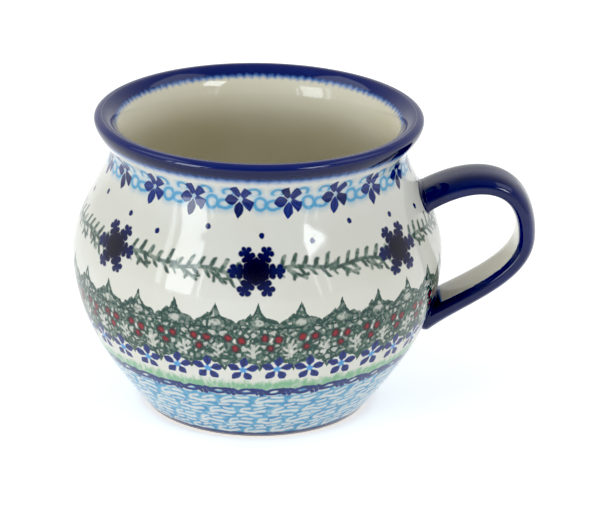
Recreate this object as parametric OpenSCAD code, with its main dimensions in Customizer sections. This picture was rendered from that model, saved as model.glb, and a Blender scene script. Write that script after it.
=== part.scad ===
// Bubble mug: a glazed stoneware cup with a round belly, a waisted neck, a flared lip and a strap handle.
// It stands on its foot ring at z = 0. The cup's axis is Z and the handle points along +X.

/* [Cup] */
// Height from the table to the top of the lip
cup_h = 83.2; // [78:0.1:92]
// Outer diameter of the foot
foot_d = 62.8; // [56:0.1:66]
// Outer diameter of the belly
belly_d = 102.2; // [98:0.1:106]
// Height of the widest part of the belly
belly_z = 43.5; // [40:0.1:46]
// Outer diameter of the neck
neck_d = 81.3; // [78:0.1:84]
// Distance from the neck's waist up to the top of the lip
neck_drop = 9.9; // [8:0.1:12]
// Outer diameter of the lip
lip_d = 90; // [87:0.1:94]
// Angle of the wall above the foot, from horizontal
foot_flare = 53.6; // [48:0.1:60]

/* [Wall] */
// Thickness of the wall at the belly and the neck, glaze included
wall_t = 4; // [3:0.1:5]
// Thickness of the floor, glaze included
floor_t = 3.8; // [3:0.1:6]
// Distance from the outside of the lip in to its crest
lip_round = 2.1; // [1.5:0.1:3]
// Thickness of a glaze coat
glaze_t = 0.3; // [0.2:0.05:0.5]

/* [Foot] */
// Width of the bare ring that the mug rests on
ring_w = 3.2; // [2:0.1:5]
// Depth of the hollow inside the foot ring
ring_h = 1.8; // [1:0.1:2.5]

/* [Handle] */
// Distance from the cup's axis to the handle's outermost centreline point
handle_reach = 74; // [72:0.1:80]
// Height of that outermost point
handle_z = 49.2; // [46:0.1:52]
// Height at which the centreline's upper end starts, inside the wall
upper_z = 57.1; // [55:0.1:59]
// Height at which the centreline's lower end stops, inside the wall
lower_z = 22.8; // [21:0.1:25]
// Width of the strap across its face
strap_w = 16.6; // [14:0.1:19]
// Thickness of the strap
strap_t = 5.8; // [5:0.1:7]
// Height that the slip pads stand out from the bare wall
slip_t = 1; // [0.6:0.1:1.5]

/* [Hidden] */
$fn = 96;
span_steps = 14;
// Share of the first span left bare above the foot ring
bare_share = 0.012;
ring_bevel = 0.4;
ring_slope = 1;
base_gap = 1.2;
lip_drop = 1.5;
floor_r = 18;
// How far each outline span pulls away from its ends, up the outside and then down the inside
foot_pull = 16.6;
belly_pull_down = 18.1;
belly_pull_up = 12.7;
neck_pull_down = 7.8;
neck_pull_up = 2;
lip_pull_down = 2.8;
lip_pull_up = 0.9;
crest_pull_out = 1.2;
crest_pull_in = 2.4;
neck_pull_up_inside = 6;
neck_pull_down_inside = 8;
belly_pull_up_inside = 12.4;
belly_pull_down_inside = 21;
floor_pull = 14;
// Handle centreline: radius, angle and pull at each root, and the pulls at the outermost point
upper_root_r = 42.5;
lower_root_r = 44.3;
upper_lift = 36.7;
lower_lift = 39.3;
upper_pull = 18.1;
lower_pull = 11.3;
reach_pull_up = 18.6;
reach_pull_down = 12.2;
// Strap: how much it thins along its length, and how much its ends swell
strap_thinning = 0.1;
upper_swell_t = 0.5;
lower_swell_t = 1.3;
upper_swell_w = 0.9;
lower_swell_w = 0.5;
// Share of the length where the lower end starts to round over, and the share that the round takes
round_from = 0.96;
round_share = 0.046;
// Powers that square off the strap's section, and the depth of its inner face against its outer one
side_power = 0.75;
outer_power = 0.95;
inner_power = 0.6;
inner_depth = 0.92;
// Slip pads: height of the middle over the root, margins round the strap, and how square they are
upper_pad_rise = 2.9;
lower_pad_rise = 2.8;
upper_pad_side = 1.6;
lower_pad_side = 1.4;
upper_pad_top = 1;
lower_pad_top = 3;
pad_power = 0.6;
pad_from = 20;
pad_length = 40;

foot_r = foot_d / 2;
belly_r = belly_d / 2;
neck_r = neck_d / 2;
lip_r = lip_d / 2;
neck_z = cup_h - neck_drop;
lip_z = cup_h - lip_drop;
crest_r = lip_r - lip_round;
floor_z = ring_h + floor_t;

// Cup outline, as cubic spans that run up the outside and down the inside
outer_spans = [
    [[foot_r, 0], [foot_r, 0] + foot_pull * [cos(foot_flare), sin(foot_flare)],
        [belly_r, belly_z - belly_pull_down], [belly_r, belly_z]],
    [[belly_r, belly_z], [belly_r, belly_z + belly_pull_up], [neck_r, neck_z - neck_pull_down],
        [neck_r, neck_z]],
    [[neck_r, neck_z], [neck_r, neck_z + neck_pull_up], [lip_r, lip_z - lip_pull_down], [lip_r, lip_z]],
    [[lip_r, lip_z], [lip_r, lip_z + lip_pull_up], [crest_r + crest_pull_out, cup_h], [crest_r, cup_h]]
];
inner_spans = [
    [[crest_r, cup_h], [crest_r - crest_pull_in, cup_h], [neck_r - wall_t, neck_z + neck_pull_up_inside],
        [neck_r - wall_t, neck_z]],
    [[neck_r - wall_t, neck_z], [neck_r - wall_t, neck_z - neck_pull_down_inside],
        [belly_r - wall_t, belly_z + belly_pull_up_inside], [belly_r - wall_t, belly_z]],
    [[belly_r - wall_t, belly_z], [belly_r - wall_t, belly_z - belly_pull_down_inside],
        [floor_r + floor_pull, floor_z], [floor_r, floor_z]]
];

// Handle centreline, from inside the wall at the top to inside the wall at the bottom
upper_root = [upper_root_r, upper_z];
lower_root = [lower_root_r, lower_z];
handle_spans = [
    [upper_root, upper_root + upper_pull * [cos(upper_lift), sin(upper_lift)],
        [handle_reach, handle_z + reach_pull_up], [handle_reach, handle_z]],
    [[handle_reach, handle_z], [handle_reach, handle_z - reach_pull_down],
        lower_root + lower_pull * [cos(lower_lift), sin(lower_lift)], lower_root]
];
handle_steps = 20;
section_steps = 28;

// Point and direction at share t of a cubic span
function span_point(p, t) =
    pow(1 - t, 3) * p[0] + 3 * pow(1 - t, 2) * t * p[1] + 3 * (1 - t) * t * t * p[2] + pow(t, 3) * p[3];
function span_slope(p, t) =
    3 * pow(1 - t, 2) * (p[1] - p[0]) + 6 * (1 - t) * t * (p[2] - p[1]) + 3 * t * t * (p[3] - p[2]);
// Unit vector to the right of the direction of travel, which is the side that faces the air
function span_normal(p, t) = let (s = span_slope(p, t)) [s[1], -s[0]] / norm(s);

// Points along a chain of spans, moved a distance into the clay, from share start of the first span
function outline(spans, inset, start = 0) = [
    for (i = [0:len(spans) - 1])
        let (from = i == 0 ? start : 0)
        for (k = [i == 0 ? 0 : 1:span_steps])
            let (t = from + (1 - from) * k / span_steps)
            span_point(spans[i], t) - inset * span_normal(spans[i], t)
];
function backwards(points) = [for (i = [len(points) - 1:-1:0]) points[i]];

// Solid of revolution that fills the cup's outside, grown out from the bare clay
module wall_core(grow) {
    side = outline([for (i = [0:1]) outer_spans[i]], glaze_t - grow);
    rotate_extrude()
        polygon(concat([[0, side[0][1]]], side, [[0, neck_z]]));
}

module coat(outside, inside) {
    rotate_extrude()
        polygon(concat(outside, backwards(inside)));
}

// Half thickness and half width of the strap at share s of its length
function strap_half_t(s) =
    strap_t / 2 * (1 - strap_thinning * s) + upper_swell_t * pow(1 - s, 6) + lower_swell_t * pow(s, 8);
function strap_half_w(s) = strap_w / 2 + upper_swell_w * pow(1 - s, 6) + lower_swell_w * pow(s, 6);
// The lower end is rounded over
function end_round(s) = s > round_from ? sqrt(1 - pow((s - round_from) / round_share, 2)) : 1;

// One section of the strap: a domed outer face and a flatter inner face
function strap_section(s, inset) =
    let (
        span = handle_spans[s <= 0.5 ? 0 : 1],
        t = s <= 0.5 ? 2 * s : 2 * s - 1,
        centre = span_point(span, t),
        out = -span_normal(span, t),
        half_t = strap_half_t(s) * end_round(s) - inset,
        half_w = strap_half_w(s) * end_round(s) - inset
    )
    [
        for (k = [0:section_steps - 1])
            let (
                a = 360 * (k + 0.5) / section_steps,
                across = sign(cos(a)) * pow(abs(cos(a)), side_power) * half_w,
                rise = sin(a) > 0 ? pow(sin(a), outer_power) : -inner_depth * pow(-sin(a), inner_power),
                p = centre + rise * half_t * out
            )
            [p[0], across, p[1]]
    ];

// Strap swept along its centreline, with its skin moved in by the given distance
module strap(inset) {
    n = section_steps;
    m = 2 * handle_steps;
    points = [for (j = [0:m]) each strap_section(j / m, inset)];
    sides = [
        for (j = [0:m - 1], k = [0:n - 1])
            let (a = j * n + k, b = j * n + (k + 1) % n)
            each [[a, b + n, b], [a, a + n, b + n]]
    ];
    first = [for (k = [0:n - 1]) k];
    last = [for (k = [n - 1:-1:0]) m * n + k];
    polyhedron(points, concat([first], sides, [last]));
}

// Cosine or sine drawn out to make a circle into a rounded square
function squarish(x) = sign(x) * pow(abs(x), pad_power);

// Rounded bar along X that bounds a slip pad on the wall
module pad_bar(z, half_w, half_h) {
    translate([pad_from, 0, z])
        rotate([90, 0, 90])
            linear_extrude(pad_length)
                polygon([for (a = [0:10:350]) [half_w * squarish(cos(a)), half_h * squarish(sin(a))]]);
}

module upper_pad_bar() {
    pad_bar(upper_z + upper_pad_rise, strap_w / 2 + upper_pad_side, strap_t / 2 + upper_pad_top);
}

module lower_pad_bar() {
    pad_bar(lower_z + lower_pad_rise, strap_w / 2 + lower_pad_side, strap_t / 2 + lower_pad_top);
}

module body() {
    bare_outside = outline(outer_spans, glaze_t);
    bare_inside = outline(inner_spans, glaze_t);
    ring_in = foot_r - ring_w;
    color("#cfc6b4")
        rotate_extrude()
            polygon(concat(
                [[0, ring_h + glaze_t], [ring_in - ring_slope, ring_h + glaze_t]],
                [[ring_in - ring_bevel, ring_bevel], [ring_in, 0], [foot_r - ring_bevel, 0]],
                bare_outside,
                bare_inside,
                [[0, floor_z - glaze_t]]
            ));
}

module handle() {
    color("#cdc4b0")
        difference() {
            strap(glaze_t);
            wall_core(slip_t);
        }
}

module slip_pad() {
    difference() {
        intersection() {
            children();
            wall_core(slip_t);
        }
        wall_core(0);
    }
}

module upper_slip_joint() {
    color("#d6cfbf")
        slip_pad()
            upper_pad_bar();
}

module lower_slip_joint() {
    color("#d6cfbf")
        slip_pad()
            lower_pad_bar();
}

module outer_glaze() {
    color("#dfe0d7")
        difference() {
            coat(outline(outer_spans, 0, bare_share), outline(outer_spans, glaze_t, bare_share));
            upper_pad_bar();
            lower_pad_bar();
        }
}

module inner_glaze() {
    top = concat(outline(inner_spans, 0), [[0, floor_z]]);
    bottom = concat(outline(inner_spans, glaze_t), [[0, floor_z - glaze_t]]);
    color("#dcdacb")
        coat(top, bottom);
}

module base_glaze() {
    color("#dcdacb")
        translate([0, 0, ring_h])
            cylinder(h = glaze_t, r = foot_r - ring_w - base_gap);
}

module handle_glaze() {
    color("#2b3272")
        difference() {
            strap(0);
            strap(glaze_t);
            wall_core(slip_t);
        }
}

body();
handle();
upper_slip_joint();
lower_slip_joint();
outer_glaze();
inner_glaze();
base_glaze();
handle_glaze();
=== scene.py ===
"""Glazed stoneware bubble mug with stamped folk bands, as an add-on that runs as a script."""

from functools import reduce
from math import cos, hypot, pi, radians, sin, tau

import bpy
import numpy as np
from mathutils import Matrix, Vector


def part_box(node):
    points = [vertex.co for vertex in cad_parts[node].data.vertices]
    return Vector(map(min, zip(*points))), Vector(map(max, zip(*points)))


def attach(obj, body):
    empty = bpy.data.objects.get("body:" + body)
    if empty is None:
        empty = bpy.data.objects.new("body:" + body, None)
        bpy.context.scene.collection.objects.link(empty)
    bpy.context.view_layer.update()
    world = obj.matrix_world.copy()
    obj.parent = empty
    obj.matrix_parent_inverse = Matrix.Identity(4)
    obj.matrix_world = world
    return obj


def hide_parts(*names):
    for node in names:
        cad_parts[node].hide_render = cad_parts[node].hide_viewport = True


bl_info = {
    "name": "Stoneware bubble mug",
    "version": (1, 0, 0),
    "blender": (4, 5, 0),
    "location": "View3D > Sidebar > Mug",
    "description": "Glazed cup, strap handle and folk bands around a packed frame",
    "category": "Object",
}

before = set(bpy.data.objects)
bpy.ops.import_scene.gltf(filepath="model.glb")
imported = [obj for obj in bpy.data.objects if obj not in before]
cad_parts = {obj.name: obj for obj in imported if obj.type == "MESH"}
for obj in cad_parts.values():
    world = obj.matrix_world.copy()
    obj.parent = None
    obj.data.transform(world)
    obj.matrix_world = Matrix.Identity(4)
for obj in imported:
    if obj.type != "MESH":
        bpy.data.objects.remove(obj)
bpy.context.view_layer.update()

MM = 0.001
GLAZE_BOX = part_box("outer_glaze")
BODY_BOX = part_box("body")
HANDLE_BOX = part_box("handle_glaze")
BASE_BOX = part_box("base_glaze")
TURN = 360

# Shape constants in millimetres
CREST_INSET = 2.1  # lip's widest line to its crest
LIP_DROP = 1.5  # lip's widest line below its crest
FLOOR = 3.8  # floor over the hollow of the foot ring
RING_WIDTH = 3.2  # bare foot ring
BAND_EDGES = (28.4, 52.8, 74.3, 84.4)  # distances up the wall where the bands' materials meet

# Columns of points round the cup and round the strap
AROUND = 288
STRAP_AROUND = 96

# Repeats of each motif round the mug
HOOKED_STROKES = 29
CHAIN_LINKS = 37
BERRY_GROUPS = 33
ARCHES = 28
SNOWFLAKES = 7
NECK_FLOWERS = 20

# Blue strokes round the handle's joints: distance up the wall, half width, half height and the
# millimetres to a degree there
HANDLE_ANGLE = 90
UPPER_STROKE = (66.2, 9.6, 4.6, 0.8)
LOWER_STROKE = (34.0, 15.5, 10.6, 0.85)


def measure(name, description, default):
    """A length property in metres."""
    return bpy.props.FloatProperty(
        name=name, description=description, default=default, subtype="DISTANCE", unit="LENGTH")


class MugSizes(bpy.types.PropertyGroup):
    """Sizes of the mug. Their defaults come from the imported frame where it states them."""

    height: measure("Height", "Table to the top of the lip", GLAZE_BOX[1][2])
    belly_radius: measure("Belly radius", "Radius of the widest part", GLAZE_BOX[1][1])
    belly_height: measure("Belly height", "Height of the widest part", 0.0435)
    neck_radius: measure("Neck radius", "Outer radius of the waist under the lip", 0.04065)
    neck_drop: measure("Neck drop", "Waist to the top of the lip", 0.0099)
    lip_radius: measure("Lip radius", "Outer radius of the lip", 0.045)
    foot_radius: measure("Foot radius", "Outer radius of the foot", 0.0314)
    wall: measure("Wall", "Thickness of the wall, glaze included", 0.004)
    glaze: measure("Glaze", "Thickness of a glaze coat", BASE_BOX[1][2] - BASE_BOX[0][2])
    ring_height: measure("Ring height", "Depth of the hollow inside the foot ring", BASE_BOX[0][2])
    strap_width: measure("Strap width", "Width of the handle's strap across its face", 0.0166)
    strap_thickness: measure("Strap thickness", "Thickness of the handle's strap", 0.0058)
    fillet: measure("Joint fillet", "Reach of the slip fillet round each end of the handle", 0.0011)


def tint(name, description, rgb):
    """A colour property whose default is given in screen values from 0 to 255."""
    return bpy.props.FloatVectorProperty(
        name=name, description=description, subtype="COLOR", size=3, min=0, max=1,
        default=[screen_to_light(v / 255) for v in rgb])


def screen_to_light(v):
    """Undoes the screen's gamma curve.

    That is v / 12.92 in the dark, else ((v + 0.055) / 1.055) to the power 2.4."""
    return v / 12.92 if v <= 0.04045 else ((v + 0.055) / 1.055) ** 2.4


class MugColours(bpy.types.PropertyGroup):
    """Colours of the glaze, the pigments and the clay."""

    white: tint("White glaze", "Clear glaze over the pale clay", (204, 203, 196))
    inside: tint("Inside glaze", "Clear glaze inside the cup", (222, 217, 198))
    clay: tint("Bare clay", "Unglazed foot ring", (205, 190, 165))
    cobalt: tint("Cobalt", "Lip, handle and joint strokes", (24, 30, 74))
    # also mixed in as a painted sheen on the lip's crest and inner edge, and as a painted highlight
    # on the strap's shoulders
    cobalt_thin: tint("Thin cobalt", "Cobalt where the brush left it thin", (38, 48, 116))
    cobalt_bleed: tint("Cobalt bleed", "Soft edge of the cobalt in the glaze", (82, 122, 184))
    navy: tint("Navy stamp", "Snowflakes, petals, dots and chain", (24, 34, 90))
    navy_light: tint("Light navy", "Streaks in the petals", (42, 66, 150))
    navy_deep: tint("Deep navy", "Where the stamp pooled", (20, 19, 36))
    sky: tint("Sky blue", "Curls between the neck flowers", (48, 138, 180))
    water: tint("Water blue", "Ground of the foot band", (80, 146, 178))
    water_deep: tint("Deep water blue", "Overlaps in the foot band", (44, 110, 156))
    heart: tint("Flower heart", "Middle of the small flowers", (74, 138, 190))
    pine: tint("Pine green", "Sprigs and leaf band", (56, 88, 76))
    pine_deep: tint("Deep pine", "Where the green is laid twice", (32, 58, 54))
    moss: tint("Light green", "Feathered line", (116, 164, 128))
    berry: tint("Berry red", "Berries", (142, 36, 42))
    berry_deep: tint("Deep berry", "Shaded side of the berries", (68, 28, 38))


# ---------------------------------------------------------------- shapes

def sizes():
    """The sizes in millimetres, which is the unit of every shape function below."""
    group = bpy.context.scene.mug_sizes
    names = MugSizes.__annotations__
    return type("Millimetres", (), {name: getattr(group, name) / MM for name in names})


def span(points, t):
    """Cubic through four control points: the sum of each point times its Bernstein weight at t."""
    p = np.asarray(points, float)
    t = np.asarray(t, float)[:, None]
    u = 1 - t
    at = u**3 * p[0] + 3 * u**2 * t * p[1] + 3 * u * t**2 * p[2] + t**3 * p[3]
    slope = 3 * u**2 * (p[1] - p[0]) + 6 * u * t * (p[2] - p[1]) + 3 * t**2 * (p[3] - p[2])
    slope /= np.linalg.norm(slope, axis=1)[:, None]
    return at, np.stack([slope[:, 1], -slope[:, 0]], 1)


def outline(spans, steps, start=0.0):
    """Points and air-side normals along a chain of spans, from share start of the first one."""
    parts = []
    for number, (points, count) in enumerate(zip(spans, steps)):
        t = np.linspace(start if number == 0 else 0.0, 1.0, count + 1)
        parts.append(span(points, t if number == 0 else t[1:]))
    return np.vstack([p for p, _ in parts]), np.vstack([n for _, n in parts])


def heading(degrees):
    """A unit vector at an angle above the first axis."""
    return np.array([cos(radians(degrees)), sin(radians(degrees))])


def outer_spans(mug):
    """The outside, from the foot up to the crest of the lip, as radius and height."""
    neck_z = mug.height - mug.neck_drop
    lip_z = mug.height - LIP_DROP
    crest = mug.lip_radius - CREST_INSET
    foot, belly, neck, lip = mug.foot_radius, mug.belly_radius, mug.neck_radius, mug.lip_radius
    belly_z = mug.belly_height
    leaving = (foot, 0) + 16.6 * heading(53.6)
    return [
        [(foot, 0), leaving, (belly, belly_z - 18.1), (belly, belly_z)],
        [(belly, belly_z), (belly, belly_z + 12.7), (neck, neck_z - 7.8), (neck, neck_z)],
        [(neck, neck_z), (neck, neck_z + 2), (lip, lip_z - 2.8), (lip, lip_z)],
        [(lip, lip_z), (lip, lip_z + 0.9), (crest + 1.2, mug.height), (crest, mug.height)],
    ]


def inner_spans(mug):
    """The inside, from the crest of the lip down to the middle of the floor."""
    neck_z = mug.height - mug.neck_drop
    crest = mug.lip_radius - CREST_INSET
    neck = mug.neck_radius - mug.wall
    belly, belly_z = mug.belly_radius - mug.wall, mug.belly_height
    floor_z = mug.ring_height + FLOOR
    return [
        [(crest, mug.height), (crest - 2.4, mug.height), (neck, neck_z + 6), (neck, neck_z)],
        [(neck, neck_z), (neck, neck_z - 8), (belly, belly_z + 12.4), (belly, belly_z)],
        [(belly, belly_z), (belly, belly_z - 21), (32, floor_z), (18, floor_z)],
        [(18, floor_z), (12, floor_z), (6, floor_z), (0, floor_z)],
    ]


def lengths(points):
    """Distance travelled along a chain of points, starting at 0."""
    return np.concatenate([[0], np.cumsum(np.linalg.norm(np.diff(points, axis=0), axis=1))])


def settle(points):
    """The potter's wobble: small sines of the angle push a point outwards, more towards the lip."""
    x, y, z = points[..., 0], points[..., 1], points[..., 2]
    angle = np.arctan2(y, x)
    push = 0.0022 * np.sin(2 * angle + 0.6) + 0.0009 * np.sin(3 * angle + 2.1)
    full_height = 83
    share = np.clip(z / full_height, 0, 1) ** 1.5
    grown = 1 + push * share
    return np.stack([x * grown, y * grown, z + 0.12 * share * np.sin(angle - 0.7)], -1)


def build(name, points, faces, layers, slots, face_slots=0):
    """Makes a mesh object from points in millimetres, faces, UV layers per corner and materials.

    face_slots is the material slot of every face, or one for each."""
    mesh = bpy.data.meshes.new(name)
    mesh.from_pydata((settle(points) * MM).tolist(), [], faces)
    for layer, values in layers.items():
        data = mesh.uv_layers.new(name=layer).data
        data.foreach_set("uv", np.asarray(values, np.float32).ravel())
    for material in slots:
        mesh.materials.append(material)
    mesh.polygons.foreach_set("material_index", np.full(len(faces), face_slots, np.int32))
    mesh.polygons.foreach_set("use_smooth", np.ones(len(faces), bool))
    mesh.update()
    if mesh.validate():
        raise RuntimeError(name + ": the mesh had faces that don't hold")
    piece = bpy.data.objects.new(name, mesh)
    bpy.context.scene.collection.objects.link(piece)
    return piece


def skin(rows, closed):
    """Faces over rows x columns of points. Columns always close.

    Rows close too, or each end row is a pole. Returns the vertex array, the faces, and for each
    face corner its row and unwrapped column."""
    count, around = rows.shape[:2]
    i, k = np.meshgrid(np.arange(count if closed else count - 1), np.arange(around), indexing="ij")
    i, k = i.ravel(), k.ravel()
    corner_rows = np.stack([i, i, i + 1, i + 1], 1)
    corner_columns = np.stack([k, k + 1, k + 1, k], 1)
    if closed:
        ids = (corner_rows % count) * around + corner_columns % around
        return rows.reshape(-1, 3), ids.tolist(), corner_rows, corner_columns
    ids = (corner_rows - 1) * around + corner_columns % around + 1
    last = (count - 2) * around + 1
    ids = np.where(corner_rows == 0, 0, np.where(corner_rows == count - 1, last, ids))
    top = i == 0
    bottom = i == count - 2
    keep = np.ones(ids.shape, bool)
    keep[top, 1] = False
    keep[bottom, 3] = False
    faces = [row[use].tolist() for row, use in zip(ids, keep)]
    vertices = np.vstack([rows[0, :1], rows[1:-1].reshape(-1, 3), rows[-1, :1]])
    return vertices, faces, corner_rows[keep], corner_columns[keep]


def revolve(name, profile, wrap, around, slots, closed=False, slot_of_row=0):
    """Turns a profile of radius and height about Z. wrap is the distance stored at each point.

    A point is (r sin a, -r cos a, z), so the angle a is 0 at the front and grows to the right."""
    angle = np.radians(np.arange(around) * TURN / around - TURN / 2)
    radius, height = profile[:, 0, None], profile[:, 1, None]
    rows = np.stack([radius * np.sin(angle), -radius * np.cos(angle), height + 0 * angle], -1)
    points, faces, rows_at, columns_at = skin(rows, closed)
    degrees = columns_at * TURN / around - TURN / 2
    distance = wrap[rows_at % len(wrap)]
    layers = {"wrap": np.stack([degrees.ravel(), distance.ravel()], 1)}
    face_rows = len(profile) if closed else len(profile) - 1
    face_slots = np.repeat(np.full(face_rows, slot_of_row), around)
    return build(name, points, faces, layers, slots, face_slots)


def cup_profiles(mug):
    """Outer and inner faces of the cup with their normals, and the distance up the outside.

    The outside starts just above the foot, at the glaze line."""
    outside, out_normal = outline(outer_spans(mug), (56, 44, 26, 12), 0.012)
    inside, in_normal = outline(inner_spans(mug), (28, 36, 44, 8))
    climbed = lengths(outside) + hypot(outside[0][0] - mug.foot_radius, outside[0][1])
    return outside, out_normal, inside, in_normal, climbed


def wall_radius(mug):
    """Outer radius of the wall against height, as two arrays for interpolation."""
    points, _ = outline(outer_spans(mug)[:2], (160, 160))
    return points[:, 1], points[:, 0]


def strap_lines(mug, shares):
    """The handle's surface at shares of its length, with the across and rise of each point.

    Each section is a superellipse, across by rise, carried along two cubic spans. Rise is flatter
    on the finger side. The strap thickens towards both ends, and its lower end is rounded over."""
    turns = np.arange(STRAP_AROUND) * tau / STRAP_AROUND
    reach = HANDLE_BOX[1][0] / MM - 2.9
    upper, lower = np.array([42.5, 57.1]), np.array([44.3, 22.8])
    lift, drop = 36.7, 39.3
    leaving = upper + 18.1 * heading(lift)
    arriving = lower + 11.3 * heading(drop)
    far_z = 49.2
    above = [upper, leaving, (reach, far_z + 18.6), (reach, far_z)]
    below = [(reach, far_z), (reach, far_z - 12.2), arriving, lower]
    first = span(above, np.clip(shares * 2, 0, 1))
    second = span(below, np.clip(shares * 2 - 1, 0, 1))
    early = (shares <= 0.5)[:, None]
    centre = np.where(early, first[0], second[0])
    out = -np.where(early, first[1], second[1])
    rounding = np.sqrt(np.clip(1 - (np.clip(shares - 0.96, 0, 1) / 0.046) ** 2, 0, 1))
    early_bulge = (1 - shares) ** 6
    half_t = mug.strap_thickness / 2 * (1 - 0.1 * shares) + 0.5 * early_bulge + 1.3 * shares**8
    half_w = mug.strap_width / 2 + 0.9 * early_bulge + 0.5 * shares**6
    half_t, half_w = (half_t * rounding)[:, None], (half_w * rounding)[:, None]
    across = np.sign(np.cos(turns)) * np.abs(np.cos(turns)) ** 0.75 * half_w
    sine = np.sin(turns)
    rise = np.where(sine > 0, np.abs(sine) ** 0.95, -0.92 * np.abs(sine) ** 0.6) + 0 * half_w
    x = centre[:, :1] + rise * half_t * out[:, :1]
    z = centre[:, 1:] + rise * half_t * out[:, 1:]
    return np.stack([x, across, z], -1), across, rise, centre


# ---------------------------------------------------------------- shader maths

class Wire:
    """A socket's value. Arithmetic on it adds Math nodes to its material."""

    def __init__(self, finish, socket):
        self.finish = finish
        self.socket = socket

    def __add__(self, other):
        return self.finish.math("ADD", self, other)

    def __sub__(self, other):
        return self.finish.math("SUBTRACT", self, other)

    def __rsub__(self, other):
        return self.finish.math("SUBTRACT", other, self)

    def __mul__(self, other):
        return self.finish.math("MULTIPLY", self, other)

    def __pow__(self, other):
        return self.finish.math("POWER", self, other)

    def __mod__(self, other):
        return self.finish.math("FLOORED_MODULO", self, other)

    def __abs__(self):
        return self.finish.math("ABSOLUTE", self)

    __radd__ = __add__
    __rmul__ = __mul__

    def output(self, number):
        """Another output of the node that this value comes from."""
        return Wire(self.finish, self.socket.node.outputs[number])


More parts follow.
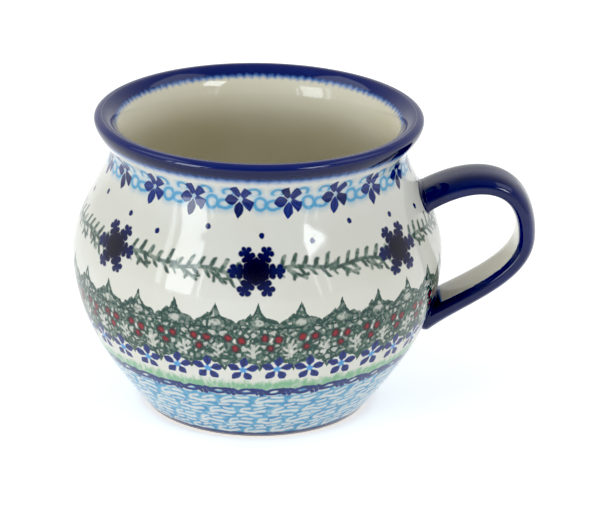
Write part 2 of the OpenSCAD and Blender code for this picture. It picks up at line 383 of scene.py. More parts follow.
class Finish:
    """One material and the ways its nodes are added."""

    def __init__(self, name, holder=None):
        self.material = holder or bpy.data.materials.new(name)
        self.material.use_nodes = True
        self.tree = self.material.node_tree
        self.tree.nodes.clear()

    def node(self, kind, inputs=None, settings=None, output=0):
        """Adds a node, sets it, then gives its sockets values or links, and returns one output."""
        made = self.tree.nodes.new("ShaderNode" + kind)
        for key, value in (settings or {}).items():
            setattr(made, key, value)
        for key, value in (inputs or {}).items():
            if isinstance(value, Wire):
                self.tree.links.new(value.socket, made.inputs[key])
            else:
                made.inputs[key].default_value = value
        return Wire(self, made.outputs[output]) if made.outputs else None

    def math(self, operation, *values):
        """Adds one Math node."""
        return self.node("Math", dict(enumerate(values)), {"operation": operation})

    def least(self, *values):
        """The smallest of several distances, which joins their shapes."""
        return reduce(lambda a, b: self.math("MINIMUM", a, b), values)

    def most(self, *values):
        """The largest of several distances, which keeps only what their shapes share."""
        return reduce(lambda a, b: self.math("MAXIMUM", a, b), values)

    def step(self, value, low, high):
        """0 below low, 1 above high, an S curve between. low may be above high: that turns it."""
        inputs = {"Value": value, "From Min": low, "From Max": high}
        return self.node("MapRange", inputs, {"interpolation_type": "SMOOTHSTEP"})

    def inked(self, distance, soft=0.3):
        """How much ink lies at a distance from a shape's edge, where inside is below 0."""
        return self.step(distance, soft / 2, -soft / 2)

    def mix(self, under, over, share):
        """One colour over another. Each is a palette name, a value or a Wire."""
        under, over = [paint(c) if isinstance(c, str) else c for c in (under, over)]
        settings = {"data_type": "RGBA", "clamp_factor": True}
        return self.node("Mix", {0: share, 6: under, 7: over}, settings, 2)

    def here(self):
        """The object coordinates in metres."""
        return self.node("TexCoord", output=3)

    def apart(self, vector):
        """The three numbers of a vector."""
        first = self.node("SeparateXYZ", {0: vector})
        return first, first.output(1), first.output(2)

    def place(self, layer="wrap"):
        """A UV layer's two values: on wrap, degrees round the mug and millimetres along it."""
        return self.apart(self.node("UVMap", None, {"uv_map": layer}))[:2]

    def noise(self, size, detail=2.0, rough=0.5, stretch=None, output=0):
        """Noise whose grains are about size metres across. Output 0 is its value, 1 its colour."""
        where = self.here()
        if stretch is not None:
            where = self.node("Mapping", {"Vector": where, "Scale": stretch})
        inputs = {"Vector": where, "Scale": 1 / size, "Detail": detail, "Roughness": rough}
        return self.node("TexNoise", inputs, None, output)

    def shaken(self, angle, up, size, reach, per_degree):
        """Moves the pattern by noise of the given grain, so that its edges look brushed."""
        first, second, _ = self.apart(self.noise(size, 1.0, output=1))
        return angle + (first - 0.5) * (reach / per_degree), up + (second - 0.5) * reach

    def cell(self, angle, count, start=0.0):
        """Splits the turn into count cells: the cell's number and the degrees from its middle."""
        place = (angle - start) * (count / TURN)
        number = self.math("ROUND", place)
        return number % count, (place - number) * (TURN / count)

    def chance(self, number, salt):
        """A steady random number from 0 to 1 for a cell."""
        return self.node("TexWhiteNoise", {"W": number + salt}, {"noise_dimensions": "1D"})

    def turned(self, x, y, degrees):
        """Coordinates in a frame turned by a fixed angle."""
        c, s = heading(degrees).tolist()
        return x * c + y * s, y * c - x * s

    def folded(self, x, y, count, turn):
        """Folds the plane on to one arm of a star.

        Returns the distances along and across the arm, and its number."""
        reach = self.math("SQRT", x * x + y * y)
        place = self.math("ARCTAN2", y, x) * (count / tau) - turn * (count / TURN)
        number = self.math("ROUND", place)
        inner = (place - number) * (tau / count)
        along = reach * self.math("COSINE", inner)
        across = reach * self.math("SINE", inner)
        return along, across, number % count

    def disc(self, x, y, radius):
        """Distance to a disc's edge."""
        return self.math("SQRT", x * x + y * y) - radius

    def stroke(self, x, y, start, end, half):
        """Distance to a round-ended straight stroke."""
        (ax, ay), (bx, by) = start, end
        length = hypot(bx - ax, by - ay)
        c, s = (bx - ax) / length, (by - ay) / length
        u, v = x - ax, y - ay
        along = u * c + v * s
        over = along - self.node("Clamp", {"Value": along, "Min": 0.0, "Max": length})
        side = v * c - u * s
        return self.math("SQRT", over * over + side * side) - half

    def strokes(self, x, y, *rows):
        """Distance to the nearest of several strokes, each with its start, end and half width."""
        return self.least(*[self.stroke(x, y, *row) for row in rows])

    def lens(self, along, across, middle, half_length, half_width):
        """Distance-like value of a petal with pointed ends: across against a parabola along it."""
        place = (along - middle) * (1 / half_length)
        return abs(across) - half_width + place * place * half_width

    def glazed(self, colour, rough=0.05, ripple=0.25):
        """Glossy glaze: fine specks in the colour, a rippled surface and patches of roughness."""
        speck = self.noise(0.0007, 2.0, 0.6)
        colour = self.mix(colour, (0.16, 0.13, 0.09, 1), self.step(speck, 0.76, 0.84) * 0.5)
        broad = self.noise(0.016, 2.0, 0.45)
        fine = self.noise(0.0035, 1.0, 0.5)
        rise = broad + fine * 0.1
        bump = self.node("Bump", {"Strength": ripple, "Distance": 0.0005, "Height": rise})
        return self.shaded({
            "Base Color": colour, "Roughness": self.step(broad, 0.2, 0.9) * 0.03 + rough,
            "Normal": bump, "IOR": 1.52})

    def shaded(self, inputs):
        """Ends the material in one Principled shader."""
        shader = self.node("BsdfPrincipled", inputs)
        self.node("OutputMaterial", {"Surface": shader})
        return self.material


def paint(name):
    """A colour from the palette, with alpha."""
    return tuple(getattr(bpy.context.scene.mug_colours, name)) + (1.0,)


def toned(name, *factors):
    """A palette colour with its red, green and blue scaled."""
    return tuple(np.array(paint(name)) * (*factors, 1))


def blended(first, share, second, rest):
    """A share of one palette colour with the rest from another."""
    return tuple(np.array(paint(first)) * share + np.array(paint(second)) * rest)[:3] + (1.0,)


# ---------------------------------------------------------------- finishes
# In each band, wide is the millimetres to a degree at its height, and so is each bare factor of
# degrees for a row that lies higher or lower.

def plain_white(finish):
    """The white ground: warm and cool clouds of glaze thickness."""
    cloud = finish.noise(0.022, 2.0)
    warm = toned("white", 0.97, 0.965, 0.93)
    return finish.mix("white", warm, finish.step(cloud, 0.35, 0.7))


def joint_stroke(f, colour, angle, up, stroke):
    """Lays the blue stroke round a handle joint over a colour: a superellipse of power 2.3."""
    middle, half_w, half_h, per_degree = stroke
    x = abs((angle - HANDLE_ANGLE) * per_degree) * (1 / half_w)
    y = abs(up - middle) * (1 / half_h)
    power = 2.3
    ring = (x**power + y**power) ** (1 / power)
    return f.mix(colour, "cobalt", f.step(ring, 1.05, 0.95))


def foot_band():
    """Water-blue ground with pale hooked strokes, a foot line, a navy chain and a green line."""
    f = Finish("foot_band")
    angle, up = f.place()
    wide = 0.72
    slow = f.math("SINE", angle * (pi / 180) + 0.2) * 0.9
    angle, up = f.shaken(angle, up, 0.0024, 1.1, wide)
    # pale hooked strokes in staggered rows
    row_height = 5.1
    level = (up - slow - 3.3) * (1 / row_height)
    row = f.math("ROUND", level)
    y = (level - row) * row_height
    number, degrees = f.cell(angle - row * 5.6, HOOKED_STROKES)
    own = number + row * 31
    luck, more = f.chance(own, 0.5), f.chance(own, 7.5)
    x = degrees * wide + (luck - 0.5) * 0.5
    y = y + (more - 0.5) * 0.6
    wave = f.math("SINE", x * 0.9 + luck * 6) * 0.32
    waved = f.strokes(
        x, y - wave, ((-3.0, -0.3), (3.4, 0.1), 0.58), ((0.8, 1.6), (3.4, 1.95), 0.42))
    steady = f.strokes(
        x, y, ((-3.2, 0.2), (-2.5, 1.25), 0.44), ((-2.5, 1.3), (-0.8, 1.75), 0.4),
        ((-4.3, -2.0), (-1.7, -1.7), 0.42), ((-0.2, -1.8), (2.6, -2.1), 0.38))
    pale = f.inked(f.least(waved, steady), 0.8)
    blot = f.noise(0.0026, 2.0)
    ground = f.mix("water", "water_deep", f.step(blot, 0.42, 0.72) * 0.75)
    thin = blended("water", 0.35, "white", 0.62)
    ground = f.mix(ground, thin, f.step(blot, 0.5, 0.28) * 0.45)
    colour = f.mix(ground, "white", pale * 0.86)
    # feathered green line
    feather = f.noise(0.0014, 2.0, 0.6, (1, 1, 0.25))
    over = up - slow * 0.9
    edge = over - 27.6 - (feather - 0.5) * 4.2
    grass = f.mix("white", "moss", f.step(feather, 0.2, 0.62) * 0.55 + 0.45)
    above = f.mix(grass, plain_white(f), f.step(edge, -1.6, 1.0))
    colour = f.mix(colour, above, f.step(over, 23.6, 24.0))
    # chain of eyes and slanting strokes
    number, degrees = f.cell(angle, CHAIN_LINKS, 6.5)
    luck = f.chance(number, 3.3)
    x = degrees * 0.78
    y = over - 23.3 + (luck - 0.5) * 0.3
    ex, ey = f.turned(x, y, 8)
    eye = f.math("SQRT", ex * ex * 0.19 + ey * ey) - 0.95
    eye = abs(eye) - 0.5
    slants = f.strokes(
        x, y, ((2.0, -0.1), (2.9, -1.2), 0.55), ((3.3, 0.75), (4.2, -1.25), 0.66),
        ((-3.6, 0.9), (-2.2, 0.1), 0.62), ((1.2, 0.85), (3.5, 0.8), 0.58),
        ((-4.2, 0.75), (-3.4, -1.25), 0.64))
    chain = f.inked(f.least(eye, slants), 0.4)
    ink = f.mix("navy", "navy_light", f.step(blot, 0.3, 0.7) * 0.3)
    colour = f.mix(colour, ink, chain)
    # foot line
    line = f.inked(up - 2.6 - slow * 0.2, 0.5)
    colour = f.mix(colour, "navy", line * 0.9)
    return f.glazed(joint_stroke(f, colour, angle, up, LOWER_STROKE))


def berry_band():
    """Leaf lace with spiked arches over berries in threes, above small five-petalled flowers."""
    f = Finish("berry_band")
    angle, up = f.place()
    wide = 0.87
    slow = f.math("SINE", angle * (pi / 180) + 0.2) * 0.55
    up = up - slow
    angle, up = f.shaken(angle, up, 0.0017, 0.75, wide)
    white = plain_white(f)
    # upper edge: arches, each with a narrow spike
    number, degrees = f.cell(angle, ARCHES, 0.5)
    luck = f.chance(number, 1.7)
    wing = f.most(1 - abs(degrees * 0.89 + 2.1) * (1 / 1.6), 0.0) * 1.2
    x = abs(degrees * 0.89)
    arch = f.math("SQRT", f.most(1 - (x * (1 / 5.75)) ** 2, 0.0)) * 2.0
    spike = f.most(1 - x * (1 / 2.2), 0.0) ** 1.5 * (luck * 0.6 + 3.7)
    ragged = f.noise(0.0012, 2.0)
    top = arch + f.most(spike, wing) + 46.6 + (ragged - 0.5) * 0.9
    # lower edge: scallops with a point hanging between each two flowers
    _, hung = f.cell(angle, BERRY_GROUPS, 11.95)
    low_x = abs(hung * 0.843)
    point = f.most(1 - low_x * (1 / 2.0), 0.0) * 3.2
    low = 34.6 - point + f.math("SINE", low_x * 1.9) * 0.35 + (ragged - 0.5) * 0.8
    inside = f.least(top - up, up - low)
    lace = f.inked(0 - inside, 0.35)
    # gaps in the lace: branching chinks that grow where the green is thin
    vein = f.node(
        "TexVoronoi", {"Vector": f.here(), "Scale": 540.0, "Randomness": 1.0},
        {"feature": "DISTANCE_TO_EDGE"})
    small = f.noise(0.0011, 1.0, 0.5)
    tone = f.noise(0.0048, 1.5, 0.5)
    holes = f.step(vein + (tone - 0.5) * 0.25 + (small - 0.5) * 0.4, 0.14, 0.32)
    rim = f.step(top - up, 1.3, 2.0) * f.step(up - low, 1.2, 2.0)
    sill = 1 - f.inked(abs(up - 45.3) - 0.3, 0.4)
    under_arch = f.inked(f.disc(x * 0.62, up - 46.9, 0.95), 0.5)
    holes = f.most(holes * rim * sill, under_arch * f.step(small, 0.3, 0.5) * sill)
    edge_ink = f.most(f.inked(abs(top - up - 0.9) - 0.35, 0.6), 1 - sill)
    twice = f.most(f.step(small + tone * 0.6, 0.65, 0.95) * 0.8, edge_ink)
    green = f.mix("pine", "pine_deep", twice)
    wash = blended("pine", 0.6, "white", 0.3)
    green = f.mix(green, wash, f.step(small, 0.5, 0.32) * 0.6)
    body = f.mix(green, white, holes * 0.68)
    colour = f.mix(white, body, lace)
    # white leaves between the groups of berries
    number, degrees = f.cell(angle, BERRY_GROUPS, 4.6)
    luck, more = f.chance(number, 4.4), f.chance(number, 9.1)
    lean = (luck - 0.5) * 0.5
    x = degrees * 0.87
    far = f.cell(angle, BERRY_GROUPS, 10.0)[1] * 0.87
    leaf_y = up - 38.8
    far = far + (luck - 0.5) * 0.8
    coral = f.strokes(
        far, leaf_y, ((0.2, -2.4), (-0.1, 1.5), 0.36), ((0.1, -1.6), (1.6, -0.4), 0.34),
        ((0.0, -0.6), (-1.5, 0.4), 0.34), ((0.0, 0.1), (1.3, 1.5), 0.34),
        ((0.2, -2.0), (-1.3, -1.6), 0.32))
    colour = f.mix(colour, white, f.inked(coral, 0.5) * 0.72)
    # berries in threes, each with a dark outline and a lit side
    y = up - 42.2 + lean * 0.6
    left = f.disc(x + 1.75 + lean, (y - more * 0.3) * 0.92, 1.16)
    right = f.disc(x - 1.75 + lean, (y + luck * 0.4) * 0.92, 1.16)
    lower = f.disc(x + 0.1 - lean, (y + 2.7 + more * 0.3) * 0.92, 1.12)
    between = f.disc((x + 0.2) * 1.2, y + 0.4, 0.6)
    colour = f.mix(colour, white, f.inked(between, 0.5))
    fruit = f.least(left, right, lower)
    colour = f.mix(colour, "pine_deep", f.inked(fruit - 0.3, 0.7) * 0.85)
    ripe = f.step(fruit + (small - 0.5) * 2.0, -0.2, -1.0) * 0.85
    red = f.mix("berry_deep", "berry", ripe)
    lit = toned("berry", 1.25, 1.7, 1.7)
    red = f.mix(red, lit, f.step(small, 0.45, 0.68) * f.step(fruit, -0.4, -1.0) * 0.6)
    colour = f.mix(colour, red, f.inked(fruit + 0.12, 0.5))
    # small flowers
    number, degrees = f.cell(angle, BERRY_GROUPS, 6.5)
    luck, more = f.chance(number, 2.9), f.chance(number, 8.2)
    x = degrees * 0.843 + (luck - 0.5) * 0.7
    y = up - 32.0 + (more - 0.5) * 0.6
    along, across, _ = f.folded(x + y * (luck - 0.5) * 0.25, y, 5, 87)
    shape = f.lens(along, across, 2.68, 1.75, 1.2)
    ribs = f.stroke(along, across, (0.0, 0.0), (1.8, 0.0), 0.42)
    colour = f.mix(colour, "heart", f.inked(f.least(ribs, f.disc(x, y, 0.8)), 0.5))
    streak = f.step(abs(across) + (small - 0.5) * 0.8, 0.15, 0.75)
    ink = f.mix("navy", "navy_light", streak * 0.4)
    colour = f.mix(colour, ink, f.inked(shape, 0.35))
    return f.glazed(joint_stroke(f, colour, angle, up, LOWER_STROKE))


def sprig(f, x, y, root, degrees, length, needle, pitch):
    """Distance to a fir twig: a stem with needles on both sides that lean towards its tip.

    The needles repeat every pitch. Those below are shorter, and each has its own length."""
    along, across = f.turned(x - root[0], y - root[1], degrees)
    stem = f.stroke(along, across, (0.0, 0.0), (length, 0.0), 0.52)
    side = abs(across)
    below = f.math("LESS_THAN", across, 0.0)
    lean = along - side * (0.42 + below * 0.3)
    place = lean * (1 / pitch) + below * 0.45
    saw = (f.math("FRACT", place) - 0.5) * (pitch * 0.9)
    own = f.chance(f.math("FLOOR", place), root[0] + degrees)
    past = f.most(side - needle * (0.62 + own * 0.45 - below * 0.2), 0.0)
    needles = f.math("SQRT", saw * saw + past * past) - 0.6 + side * 0.04
    ends = f.most(0.2 - lean, lean - length)
    return f.least(stem, f.most(needles, ends))


def branch(f, x, y, root, degrees):
    """Distance to a bare side shoot: a stem, one needle below it and a forked tip."""
    along, across = f.turned(x - root[0], y - root[1], degrees)
    return f.strokes(
        along, across, ((0.0, 0.0), (5.2, 0.0), 0.42), ((1.6, 0.0), (2.3, -1.5), 0.38),
        ((3.6, 0.0), (5.2, 1.2), 0.38))


def snow_band():
    """Seven snowflakes on a garland of fir twigs, with dots above."""
    f = Finish("snow_band")
    angle, up = f.place()
    wide = 0.848
    angle, up = f.shaken(angle, up, 0.0016, 0.5, wide)
    colour = plain_white(f)
    number, degrees = f.cell(angle, SNOWFLAKES, -0.3)
    x = degrees * wide
    y = up - 61.0 - f.math("SINE", angle * (pi / 180)) * 0.3
    # garland
    waved = y - f.math("SINE", degrees * (tau / 25.7) - 0.9) * 0.75
    gap_x = f.cell(angle, SNOWFLAKES, 25.4)[1] * wide
    right = sprig(f, x, waved, (5.0, 0.0), 4, 17.0, 3.3, 3.1)
    left = sprig(f, gap_x, waved, (-1.5, 0.2), -3, 19.0, 3.2, 3.1)
    drop = branch(f, gap_x, y, (1.6, -0.4), -30)
    fall = branch(f, x, y, (8.6, 0.2), -27)
    stray = branch(f, gap_x, y, (9.6, -0.4), -32)
    twig = f.least(right, left, drop, fall, stray)
    tone = f.noise(0.0022, 1.5)
    pine = f.mix("pine", "pine_deep", f.step(tone, 0.4, 0.7))
    worn = 0.94 - f.step(tone, 0.55, 0.3) * 0.3
    colour = f.mix(colour, pine, f.inked(twig - 0.06, 0.6) * worn)
    # dots above
    dots = f.least(
        f.disc(x - 1.5, up - 70.4, 0.82),
        f.disc(x - 16.2 + f.math("GREATER_THAN", number, 5.5) * 2.9, up - 68.4, 0.8),
        f.disc(gap_x - 7.3, up - 72.1, 0.8))
    colour = f.mix(colour, "navy", f.inked(dots, 0.35))
    # snowflake
    along, across, _ = f.folded(x * 0.96, y, 6, 0)
    side = abs(across)
    shape = f.least(
        f.most(side - 0.95, along - 6.4),
        f.disc(along - 4.1, side - 1.12, 0.9),
        f.disc(along - 6.0, side - 1.12, 0.82),
        f.disc(along - 6.75, side, 0.72),
        along - 3.35)
    thinned = f.step(f.disc(x, y, 0.0) + (tone - 0.5) * 3, 1.5, 7.5) * 0.75
    ink = f.mix("navy_deep", "navy", thinned)
    colour = f.mix(colour, ink, f.inked(shape, 0.4))
    return f.glazed(joint_stroke(f, colour, angle, up, UPPER_STROKE))


def neck_band():
    """Twenty brushed five-petalled flowers joined by sky-blue rings, loops and hooks."""
    f = Finish("neck_band")
    angle, up = f.place()
    wide = 0.709
    angle, up = f.shaken(angle, up, 0.0018, 0.6, wide)
    colour = plain_white(f)
    number, degrees = f.cell(angle, NECK_FLOWERS, -6.3)
    luck, more = f.chance(number, 6.1), f.chance(number, 2.2)
    x = degrees * wide
    y = up - 79.7
    # curls, drawn in a cell centred between two flowers
    _, between = f.cell(angle, NECK_FLOWERS, 2.7)
    cx = between * wide
    ring = abs(f.disc(cx + 1.3, (y + 1.0) * 0.95, 1.5)) - 0.36
    loop = abs(f.disc((cx - 2.1) * 0.62, y + 1.3, 1.15)) - 0.33
    hook = f.most(abs(f.disc(cx + 3.0, y - 2.2, 1.5)) - 0.38, -0.8 - (y - 2.2))
    crook = f.most(abs(f.disc(cx - 3.2, y - 2.1, 1.35)) - 0.38, -0.6 - (y - 2.1))
    tie = f.stroke(cx, y, (-5.6, -1.2), (-2.8, -0.9), 0.34)
    curls = f.least(ring, loop, hook, crook, tie)
    tone = f.noise(0.0019, 1.5)
    sky = f.mix("sky", "heart", f.step(tone, 0.45, 0.75) * 0.4)
    colour = f.mix(colour, "sky", f.inked(curls - 0.8, 2.2) * 0.4)
    colour = f.mix(colour, sky, f.inked(curls - 0.06, 0.5) * 0.85)
    # flowers
    fy = (y + (more - 0.5) * 0.8) * 0.93
    fx = (x + (luck - 0.5) * 0.8) * 1.17 + fy * (luck - 0.5) * 0.3
    along, across, petal = f.folded(fx, fy, 5, 115)
    own = f.chance(number * 5 + petal, 0.7)
    leaf = f.lens(along, across, 2.5 + own * 0.3, 2.15, 1.42)
    tip = f.disc(along, across * 1.1, own * 0.4 + 4.0)
    fan = f.most(abs(across) - along * 0.2 - 0.68, tip, 0.6 - along)
    colour = f.mix(colour, "sky", f.inked(f.disc(fx, fy, 0.9), 0.9) * 0.4)
    petals = leaf + (fan - leaf) * f.step(abs(petal - 1.5), 0.9, 1.1)
    streak = f.step(abs(f.math("SINE", across * 2.6 + own * 3)) + (tone - 0.5) * 0.8, 0.1, 0.8)
    ink = f.mix("navy_light", "navy", streak * 0.4 + 0.42 + own * 0.3)
    ink = f.mix(ink, "navy_deep", f.step(own, 0.7, 0.95) * 0.35)
    colour = f.mix(colour, ink, f.inked(petals, 0.35))
    return f.glazed(colour)


def cobalt_shade(f):
    """Brushed cobalt: thin streaks over a dark ground."""
    streak = f.noise(0.004, 2.0, 0.5, (1, 1, 3.5))
    return f.mix("cobalt", "cobalt_thin", f.step(streak, 0.5, 0.78) * 0.55)


def lip_band():
    """Cobalt lip with a scalloped lower edge that bleeds into the white, and a painted sheen that
    lightens the cobalt towards the crest.
    """
    f = Finish("lip_band")
    angle, up = f.place()
    ragged = f.noise(0.0012, 2.0, 0.6)
    scallop = abs(f.math("SINE", angle * (pi * 100 / TURN))) * 0.22
    edge = up - 87.2 - scallop + (ragged - 0.5) * 0.7
    colour = f.mix(plain_white(f), "cobalt_bleed", f.step(edge, -2.7, 0.2))
    pooled = toned("cobalt", 0.5, 0.5, 0.7)
    # painted sheen: the crest's cobalt is mixed towards thin cobalt, so it is lighter than the
    # pooled cobalt below
    crest = f.mix(cobalt_shade(f), "cobalt_thin", 0.6)
    cobalt_with_sheen = f.mix(pooled, crest, f.step(up, 89.6, 91.6))
    colour = f.mix(colour, cobalt_with_sheen, f.step(edge, -1.3, 0.9))
    return f.glazed(colour, 0.05)


def inner_finish():
    """Warm glaze inside the cup, and the cobalt lip's inner edge, lightened by a painted sheen. Its
    map runs down the inside.
    """
    f = Finish("inner_glaze")
    angle, down = f.place()
    ragged = f.noise(0.0014, 2.0, 0.6)
    scallop = abs(f.math("SINE", angle * (pi * 110 / TURN))) * 0.4
    edge = down - 4.8 + scallop - (ragged - 0.5) * 1.1
    cloud = f.noise(0.03, 2.0)
    warm = toned("inside", 0.95, 0.93, 0.88)
    colour = f.mix("inside", warm, f.step(cloud, 0.35, 0.7))
    colour = f.mix("cobalt_bleed", colour, f.step(edge, -0.1, 1.5))
    # painted sheen: the cobalt on the lip's inner edge is lightened half way towards thin cobalt
    cobalt_with_sheen = f.mix(cobalt_shade(f), "cobalt_thin", 0.5)
    colour = f.mix(cobalt_with_sheen, colour, f.step(edge, -0.7, 0.4))
    return f.glazed(colour, 0.07)


def base_finish():
    """Glaze panel under the base, with warmer clouds of glaze."""
    f = Finish("base_glaze")
    cloud = f.noise(0.012, 2.0)
    warm = toned("inside", 0.9, 0.87, 0.8)
    return f.glazed(f.mix("inside", warm, f.step(cloud, 0.3, 0.7)), 0.12)


def bare_clay():
    """Unglazed stoneware: sandy grain in colour, roughness and relief."""
    f = Finish("bare_clay")
    grain = f.noise(0.0006, 3.0, 0.65)
    broad = f.noise(0.009, 2.0)
    dark = toned("clay", 0.72, 0.66, 0.58)
    colour = f.mix("clay", dark, f.step(grain, 0.42, 0.72) * 0.6)
    colour = f.mix(colour, toned("clay", 1.0, 0.9, 0.76), f.step(broad, 0.4, 0.7) * 0.5)
    bump = f.node("Bump", {"Strength": 0.5, "Distance": 0.0002, "Height": grain})
    return f.shaded({"Base Color": colour, "Roughness": grain * 0.2 + 0.62, "Normal": bump})


def handle_finish():
    """Cobalt strap with a cream finger side, and lighter cobalt along its shoulders: thin cobalt
    with a painted highlight.

    The strap map holds millimetres across and rise from -1 to 1, the wrap map the length from the
    upper end."""
    f = Finish("handle_glaze")
    across, rise = f.place("strap")
    _, length = f.place()
    ragged = f.noise(0.002, 2.0, 0.55)
    cream = f.step(abs(across) + (ragged - 0.5) * 0.9, 6.5, 5.9) * f.step(rise, -0.35, -0.5)
    upper_end, lower_end = (3.5, 5.0), (75.2, 73.4)
    cream = cream * f.step(length, *upper_end) * f.step(length, *lower_end)
    streak = f.noise(0.006, 2.0, 0.5, (0.5, 2.5, 0.5))
    colour = f.mix("cobalt", "cobalt_thin", f.step(streak, 0.45, 0.78) * 0.5)
    # thin cobalt and a painted highlight along both shoulders of the strap, where its face turns
    # into its sides
    shoulder_thin_and_highlight = f.step(abs(abs(across) - 7.2), 1.3, 0.2) * 0.22
    colour = f.mix(colour, "cobalt_thin", shoulder_thin_and_highlight)
    edge = f.mix("cobalt_bleed", "inside", f.step(cream, 0.5, 1.0))
    colour = f.mix(colour, edge, f.step(cream, 0.15, 0.55))
    return f.glazed(colour, 0.06, 0.35)


def joint_finish(name):
    """Cobalt pooled over the slip fillet."""
    f = Finish(name)
    pool = f.noise(0.003, 2.0)
    deep = toned("cobalt", 0.6, 0.6, 0.75)
    return f.glazed(f.mix("cobalt", deep, f.step(pool, 0.4, 0.7)), 0.06, 0.35)


# ---------------------------------------------------------------- pieces

def dress(piece, slot, *nodes):
    """Fixes a piece to the one body and hides the frame nodes that it stands for. slot is not used.
    """
    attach(piece, "root")
    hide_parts(*nodes)


class MUG_OT_outer_glaze(bpy.types.Operator):
    """Make the decorated outer glaze coat"""

    bl_idname = "mug.outer_glaze"
    bl_label = "Outer glaze"

    def execute(self, context):
        mug = sizes()
        outside, normal, _, _, climbed = cup_profiles(mug)
        back = (outside - normal * mug.glaze)[::-2]
        profile = np.vstack([outside, back])
        below_bands = -20.0
        wrap = np.concatenate([climbed, np.full(len(back), below_bands)])
        middle = (climbed[:-1] + climbed[1:]) / 2
        bands = np.searchsorted(BAND_EDGES, middle)
        clay_slot = 5
        slot_of_row = np.concatenate([bands, np.full(len(back) + 1, clay_slot)])
        slots = [foot_band(), berry_band(), snow_band(), neck_band(), lip_band(), bare_clay()]
        piece = revolve("outer_glaze_coat", profile, wrap, AROUND, slots, True, slot_of_row)
        dress(piece, "decorated_glaze", "outer_glaze")
        return {"FINISHED"}


class MUG_OT_inner_glaze(bpy.types.Operator):
    """Make the glaze coat that lines the cup"""

    bl_idname = "mug.inner_glaze"
    bl_label = "Inner glaze"

    def execute(self, context):
        mug = sizes()
        _, _, inside, normal, _ = cup_profiles(mug)
        down = lengths(inside)
        back = (inside - normal * mug.glaze)[::-2]
        back[0, 0] = 0.0
        profile = np.vstack([inside[::-1], back[::-1]])
        beyond_lip = 60.0
        wrap = np.concatenate([down[::-1], np.full(len(back), beyond_lip)])
        piece = revolve("inner_glaze_coat", profile, wrap, AROUND, [inner_finish()])
        dress(piece, "clear_glaze", "inner_glaze")
        return {"FINISHED"}


class MUG_OT_body(bpy.types.Operator):
    """Make the stoneware body with its bare foot ring, and the glaze panel under the base"""

    bl_idname = "mug.body"
    bl_label = "Body and base"

    def execute(self, context):
        mug = sizes()
        outside, out_normal = outline(outer_spans(mug), (40, 30, 18, 8))
        _, _, inside, in_normal, _ = cup_profiles(mug)
        ring_in = mug.foot_radius - RING_WIDTH
        under = mug.ring_height + mug.glaze
        turn = np.linspace(0, pi / 2, 5)[:, None]
        inner, outer = 0.8, 0.5
        heel = np.array([ring_in + inner, inner]) - inner * np.hstack([np.cos(turn), np.sin(turn)])
        toe_at = np.array([mug.foot_radius - 1.0, outer])
        toe = toe_at + outer * np.hstack([np.sin(turn), -np.cos(turn)])
        profile = np.vstack([
            [[0, under], [ring_in / 2, under], [ring_in - 0.9, under]], heel, toe,
            (outside - out_normal * mug.glaze)[1:], (inside - in_normal * mug.glaze)[2::2],
            [[0, inside[-1][1] - mug.glaze]]])
        piece = revolve("stoneware_body", profile, lengths(profile), AROUND, [bare_clay()])
        dress(piece, "bare_stoneware", "body")
        edge = BASE_BOX[1][0] / MM
        top, bottom = BASE_BOX[1][2] / MM, BASE_BOX[0][2] / MM
        panel = np.array([
            [0, bottom], [edge / 2, bottom], [edge - 0.4, bottom], [edge - 0.05, bottom + 0.1],
            [edge, top], [edge / 2, top], [0, top]])
        base = revolve("base_glaze_panel", panel, lengths(panel), 192, [base_finish()])
        dress(base, "clear_glaze", "base_glaze")
        return {"FINISHED"}


class MUG_OT_handle(bpy.types.Operator):
    """Make the strap handle with its glaze"""

    bl_idname = "mug.handle"
    bl_label = "Handle"

    def execute(self, context):
        shares = 0.5 - 0.5 * np.cos(np.linspace(0, pi, 241))
        lines, across, rise, centre = strap_lines(sizes(), shares)
        rows = lines.copy()
        rows[0] = [centre[0, 0], 0, centre[0, 1]]
        rows[-1] = [centre[-1, 0], 0, centre[-1, 1]]
        travelled = lengths(centre)
        points, faces, rows_at, columns_at = skin(rows, False)
        column = columns_at % STRAP_AROUND
        layers = {
            "wrap": np.stack([columns_at * TURN / STRAP_AROUND, travelled[rows_at]], 1),
            "strap": np.stack([across[rows_at, column], rise[rows_at, column]], 1),
        }
        piece = build("strap_handle", points, faces, layers, [handle_finish()])
        dress(piece, "cobalt_glaze", "handle", "handle_glaze")
        return {"FINISHED"}


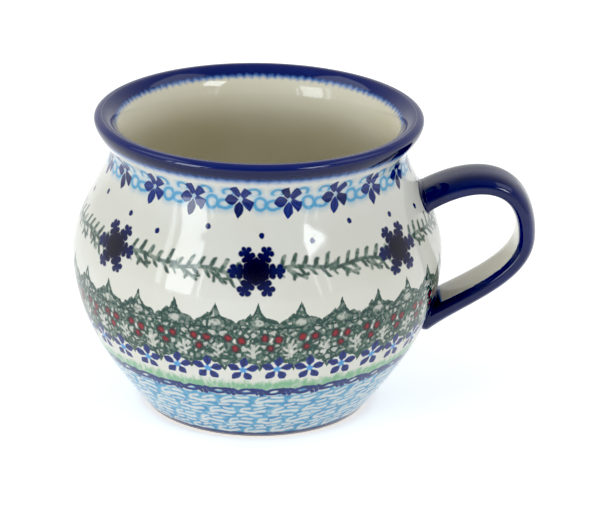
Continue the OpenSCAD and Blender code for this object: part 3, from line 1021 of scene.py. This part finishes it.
class MUG_OT_joints(bpy.types.Operator):
    """Make the slip fillets where the handle meets the wall"""

    bl_idname = "mug.joints"
    bl_label = "Slip joints"

    def execute(self, context):
        mug = sizes()
        wall = wall_radius(mug)
        for name, node, low, high in (
                ("upper_slip_fillet", "upper_slip_joint", 0.0, 0.3),
                ("lower_slip_fillet", "lower_slip_joint", 1.0, 0.7)):
            lines, _, _, centre = strap_lines(mug, np.linspace(low, high, 600))
            away = np.hypot(lines[..., 0], lines[..., 1]) - np.interp(lines[..., 2], *wall)
            first = np.argmax(away > 0, axis=0)
            columns = np.arange(STRAP_AROUND)
            zero = np.zeros(STRAP_AROUND)
            travelled = np.vstack([
                zero, np.cumsum(np.linalg.norm(np.diff(lines, axis=0), axis=2), axis=0)])
            beyond = np.argmax(travelled > travelled[first, columns] + mug.fillet, axis=0)
            corner = lines[first, columns]
            on_strap = lines[beyond, columns]
            hub = corner.mean(axis=0)
            spread = corner - hub
            spread /= np.linalg.norm(spread, axis=1)[:, None]
            on_wall = onto_wall(corner + spread * mug.fillet, wall, 0.02)
            core = np.stack([centre[beyond, 0], zero, centre[beyond, 1]], 1)
            t = np.linspace(0, 1, 10)[:, None, None]
            arc = (1 - t) ** 2 * on_strap + 2 * (1 - t) * t * corner + t**2 * on_wall
            sunk = onto_wall(on_wall, wall, -0.8)
            buried = onto_wall(corner - spread, wall, -1.5)
            tucked = on_strap + (core - on_strap) * 0.3
            rows = np.concatenate([arc, sunk[None], buried[None], tucked[None]])
            points, faces, rows_at, columns_at = skin(rows, True)
            turned = columns_at.ravel() * TURN / STRAP_AROUND
            layers = {"wrap": np.stack([turned, rows_at.ravel()], 1)}
            piece = build(name, points, faces, layers, [joint_finish(name)])
            dress(piece, "slip", node)
        return {"FINISHED"}


def onto_wall(points, wall, lift):
    """Slides points along their radius until they stand lift outside the wall."""
    flat = np.hypot(points[:, 0], points[:, 1])
    wanted = np.interp(points[:, 2], *wall) + lift
    return np.stack([points[:, 0] * wanted / flat, points[:, 1] * wanted / flat, points[:, 2]], 1)


# ---------------------------------------------------------------- stage

class MUG_OT_stage(bpy.types.Operator):
    """Make the floor, the soft light, the window panels and the camera"""

    bl_idname = "mug.stage"
    bl_label = "Stage"

    def execute(self, context):
        scene = context.scene
        view = scene.view_settings
        view.view_transform = "Standard"
        view.use_curve_mapping = True
        view.curve_mapping.black_level = (0.027, 0.027, 0.027)
        mesh = bpy.data.meshes.new("floor")
        far = 3.0
        corners = [(-far, -far, 0), (far, -far, 0), (far, far, 0), (-far, far, 0)]
        mesh.from_pydata(corners, [], [(0, 1, 2, 3)])
        mesh.materials.append(Finish("floor").shaded({
            "Base Color": (0.9, 0.9, 0.9, 1), "Roughness": 0.9, "Emission Color": (1, 1, 1, 1),
            "Emission Strength": 0.44}))
        floor = bpy.data.objects.new("floor", mesh)
        scene.collection.objects.link(floor)
        scene.world = bpy.data.worlds.new("soft_room")
        sky = Finish("soft_room", scene.world)
        _, y, z = sky.apart(sky.here())
        height = sky.step(z, 0.1, 0.9)
        front = sky.step(y, -0.3, -0.95)
        light = sky.node("Background", {
            "Color": (0.99, 0.99, 0.98, 1), "Strength": 0.93 - height * 0.46 - front * 0.28})
        sky.node("OutputWorld", {"Surface": light})
        # name, azimuth and elevation, width and height in metres, turn in its plane, radiance
        for panel in (
                ("left_window", (-47, 16), (0.5, 0.95), 0, 5.4),
                ("left_pane", (-62, 18), (0.1, 0.9), 4, 2.8),
                ("left_gap", (-34, 12), (0.05, 0.8), -3, 3.5),
                ("right_window", (43, 37.0), (0.44, 0.36), 8, 8.5),
                ("right_gap", (37, 16), (0.04, 0.75), 5, 3.0),
                ("right_frame", (44, 14), (0.03, 0.7), 3, 3.0),
                ("left_ceiling", (-98, 52), (0.9, 0.7), 0, 1.3),
                ("right_ceiling", (98, 52), (0.9, 0.7), 0, 1.0)):
            light_panel(*panel)
        aim = Vector((0, 0, 0.041))
        rise = radians(21.39)
        distance = 0.8
        data = bpy.data.cameras.new("camera")
        data.sensor_width = 36
        data.lens = 172.7
        data.shift_x = 0.071
        data.shift_y = -0.007
        data.clip_start = 0.01
        camera = bpy.data.objects.new("camera", data)
        back = Vector((0, -cos(rise), sin(rise)))
        facing = (-back).to_track_quat("-Z", "Y").to_matrix().to_4x4()
        roll = Matrix.Rotation(radians(0.67), 4, "Z")
        camera.matrix_world = Matrix.Translation(aim + back * distance) @ facing @ roll
        scene.collection.objects.link(camera)
        scene.camera = camera
        return {"FINISHED"}


def light_panel(name, direction, size, turn, radiance):
    """A rectangular light at an azimuth and elevation, facing the cup and turned in its own plane.

    Azimuth 0 is the camera's side. The light's power is radiance x area x pi."""
    cup = Vector((0, 0, 0.045))
    distance = 1.6
    azimuth, elevation = map(radians, direction)
    data = bpy.data.lights.new(name, "AREA")
    data.shape = "RECTANGLE"
    data.size, data.size_y = size
    data.energy = radiance * size[0] * size[1] * pi
    data.color = (0.9, 0.97, 1.0)
    lamp = bpy.data.objects.new(name, data)
    flat = cos(elevation)
    towards = Vector((sin(azimuth) * flat, -cos(azimuth) * flat, sin(elevation)))
    facing = towards.to_track_quat("Z", "Y").to_matrix().to_4x4()
    lamp.matrix_world = (
        Matrix.Translation(towards * distance + cup) @ facing
        @ Matrix.Rotation(radians(turn), 4, "Z"))
    bpy.context.scene.collection.objects.link(lamp)


class MUG_PT_panel(bpy.types.Panel):
    """Lists the mug's sizes, colours and steps"""

    bl_idname = "MUG_PT_panel"
    bl_label = "Stoneware mug"
    bl_space_type = "VIEW_3D"
    bl_region_type = "UI"
    bl_category = "Mug"

    def draw(self, context):
        for group in (context.scene.mug_sizes, context.scene.mug_colours):
            column = self.layout.column(align=True)
            for name in type(group).__annotations__:
                column.prop(group, name)
        for step in STEPS:
            self.layout.operator(step.bl_idname)


STEPS = (
    MUG_OT_stage, MUG_OT_body, MUG_OT_inner_glaze, MUG_OT_outer_glaze, MUG_OT_handle, MUG_OT_joints)
CLASSES = (MugSizes, MugColours) + STEPS + (MUG_PT_panel,)


def register():
    for item in CLASSES:
        bpy.utils.register_class(item)
    bpy.types.Scene.mug_sizes = bpy.props.PointerProperty(type=MugSizes)
    bpy.types.Scene.mug_colours = bpy.props.PointerProperty(type=MugColours)


def unregister():
    del bpy.types.Scene.mug_colours
    del bpy.types.Scene.mug_sizes
    for item in reversed(CLASSES):
        bpy.utils.unregister_class(item)


def main():
    register()
    for step in STEPS:
        group, name = step.bl_idname.split(".")
        getattr(getattr(bpy.ops, group), name)()


if __name__ == "__main__":
    main()
